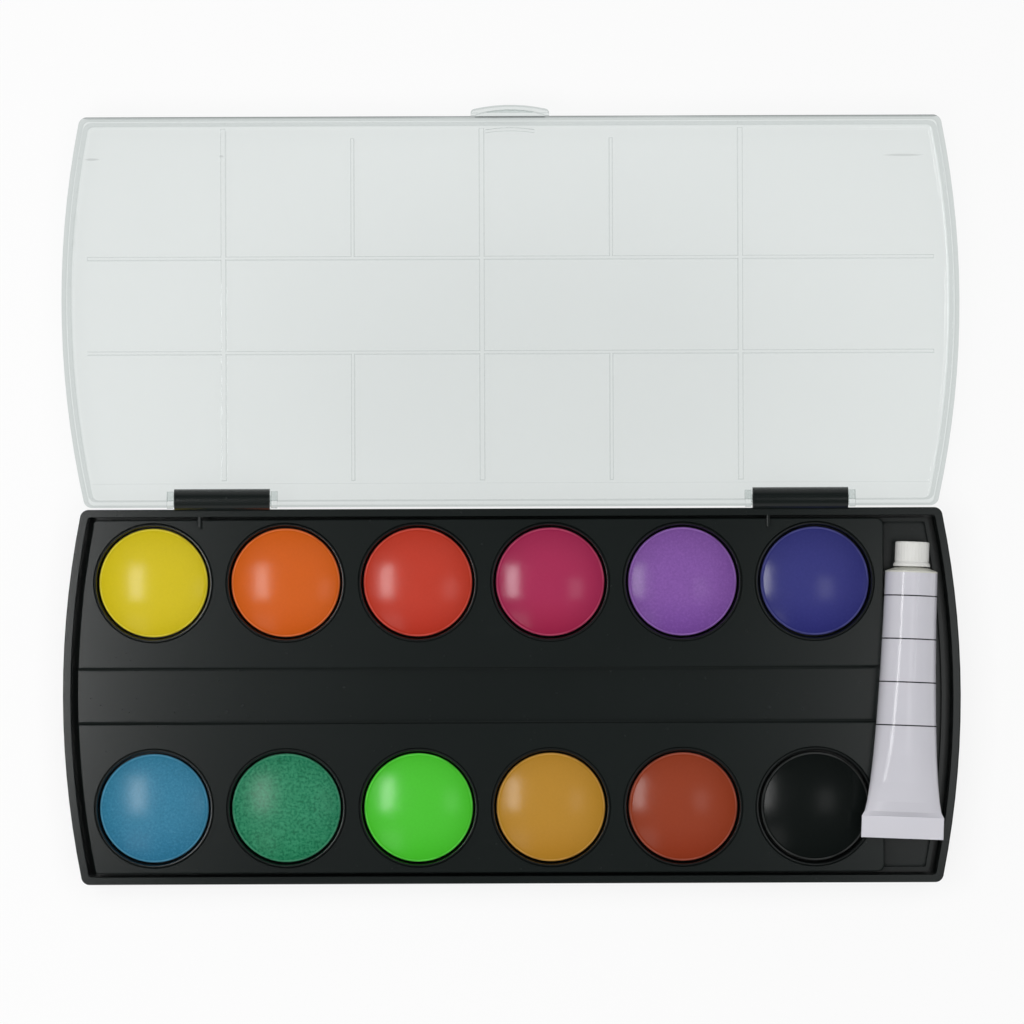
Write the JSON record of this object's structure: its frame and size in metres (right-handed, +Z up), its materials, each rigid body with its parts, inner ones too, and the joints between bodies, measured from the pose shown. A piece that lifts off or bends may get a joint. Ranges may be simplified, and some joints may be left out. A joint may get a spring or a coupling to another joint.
{
  "type": "gouache paint set box",
  "caption": "Flat black paint box with round gouache pans in an insert, a clear hinged lid with mixing wells and a tube of white.",
  "frame": {"origin": "centre of the tray's flat underside, on the table", "axes": "+X along the box to the right, +Y to the hinge at the back, +Z up"},
  "size_m": [0.2314, 0.2005, 0.0197],
  "materials": {
    "black_plastic": "fine satin moulded polystyrene",
    "insert_plastic": "fine satin moulded polystyrene",
    "clear_plastic": "clear moulded polystyrene, faintly scuffed",
    "tube_laminate": "glossy white lacquered tube",
    "white_paint": "wet opaque white paint, inside the tube",
    "white_plastic": "natural white polyethylene",
    "cap_plastic": "white polypropylene with grip grooves",
    "paint_yellow": "dried gouache, smooth satin crown",
    "paint_orange": "dried gouache, smooth satin crown",
    "paint_red": "dried gouache, smooth satin crown",
    "paint_magenta": "dried gouache, smooth satin crown",
    "paint_violet": "dried gouache, smooth satin crown",
    "paint_ultramarine": "dried gouache, smooth satin crown",
    "paint_blue": "dried gouache, smooth satin crown",
    "paint_green": "dried gouache, smooth satin crown",
    "paint_light_green": "dried gouache, smooth satin crown",
    "paint_ochre": "dried gouache, smooth satin crown",
    "paint_brown": "dried gouache, smooth satin crown",
    "paint_black": "dried gouache, smooth satin crown",
    "cup_plastic": "thin black moulded polystyrene"
  },
  "bodies": {
    "tray": {"base_tray": "black_plastic", "pan_insert": "insert_plastic"},
    "lid": {"lid": "clear_plastic"},
    "pan_yellow": {"pan_cup_yellow": "cup_plastic", "paint_cake_yellow": "paint_yellow"},
    "pan_orange": {"pan_cup_orange": "cup_plastic", "paint_cake_orange": "paint_orange"},
    "pan_red": {"pan_cup_red": "cup_plastic", "paint_cake_red": "paint_red"},
    "pan_magenta": {"pan_cup_magenta": "cup_plastic", "paint_cake_magenta": "paint_magenta"},
    "pan_violet": {"pan_cup_violet": "cup_plastic", "paint_cake_violet": "paint_violet"},
    "pan_ultramarine": {"pan_cup_ultramarine": "cup_plastic", "paint_cake_ultramarine": "paint_ultramarine"},
    "pan_blue": {"pan_cup_blue": "cup_plastic", "paint_cake_blue": "paint_blue"},
    "pan_green": {"pan_cup_green": "cup_plastic", "paint_cake_green": "paint_green"},
    "pan_light_green": {"pan_cup_light_green": "cup_plastic", "paint_cake_light_green": "paint_light_green"},
    "pan_ochre": {"pan_cup_ochre": "cup_plastic", "paint_cake_ochre": "paint_ochre"},
    "pan_brown": {"pan_cup_brown": "cup_plastic", "paint_cake_brown": "paint_brown"},
    "pan_black": {"pan_cup_black": "cup_plastic", "paint_cake_black": "paint_black"},
    "tube": {"tube_body": "tube_laminate", "tube_paint": "white_paint", "tube_shoulder": "white_plastic"},
    "tube_cap": {"tube_cap": "cap_plastic"}
  },
  "joints": [
    {"name": "lid_hinge", "type": "hinge", "parent": "tray", "child": "lid", "pos_m": [0, 0.0508, 0.012], "axis": [1, 0, 0], "range_deg": [0, 180]},
    {"name": "pan_lift_yellow", "type": "slide", "parent": "tray", "child": "pan_yellow", "axis": [0, 0, 1], "range_m": [0, 0.03]},
    {"name": "pan_lift_orange", "type": "slide", "parent": "tray", "child": "pan_orange", "axis": [0, 0, 1], "range_m": [0, 0.03]},
    {"name": "pan_lift_red", "type": "slide", "parent": "tray", "child": "pan_red", "axis": [0, 0, 1], "range_m": [0, 0.03]},
    {"name": "pan_lift_magenta", "type": "slide", "parent": "tray", "child": "pan_magenta", "axis": [0, 0, 1], "range_m": [0, 0.03]},
    {"name": "pan_lift_violet", "type": "slide", "parent": "tray", "child": "pan_violet", "axis": [0, 0, 1], "range_m": [0, 0.03]},
    {"name": "pan_lift_ultramarine", "type": "slide", "parent": "tray", "child": "pan_ultramarine", "axis": [0, 0, 1], "range_m": [0, 0.03]},
    {"name": "pan_lift_blue", "type": "slide", "parent": "tray", "child": "pan_blue", "axis": [0, 0, 1], "range_m": [0, 0.03]},
    {"name": "pan_lift_green", "type": "slide", "parent": "tray", "child": "pan_green", "axis": [0, 0, 1], "range_m": [0, 0.03]},
    {"name": "pan_lift_light_green", "type": "slide", "parent": "tray", "child": "pan_light_green", "axis": [0, 0, 1], "range_m": [0, 0.03]},
    {"name": "pan_lift_ochre", "type": "slide", "parent": "tray", "child": "pan_ochre", "axis": [0, 0, 1], "range_m": [0, 0.03]},
    {"name": "pan_lift_brown", "type": "slide", "parent": "tray", "child": "pan_brown", "axis": [0, 0, 1], "range_m": [0, 0.03]},
    {"name": "pan_lift_black", "type": "slide", "parent": "tray", "child": "pan_black", "axis": [0, 0, 1], "range_m": [0, 0.03]},
    {"name": "tube_lift", "type": "slide", "parent": "pan_black", "child": "tube", "axis": [0, 0, 1], "range_m": [0, 0.03]},
    {"name": "cap_turn", "type": "hinge", "parent": "tube", "child": "tube_cap", "pos_m": [0.10304, 0.0314, 0.01257], "axis": [0.0401, 0.9986, -0.0349], "range_deg": [0, 540]}
  ]
}
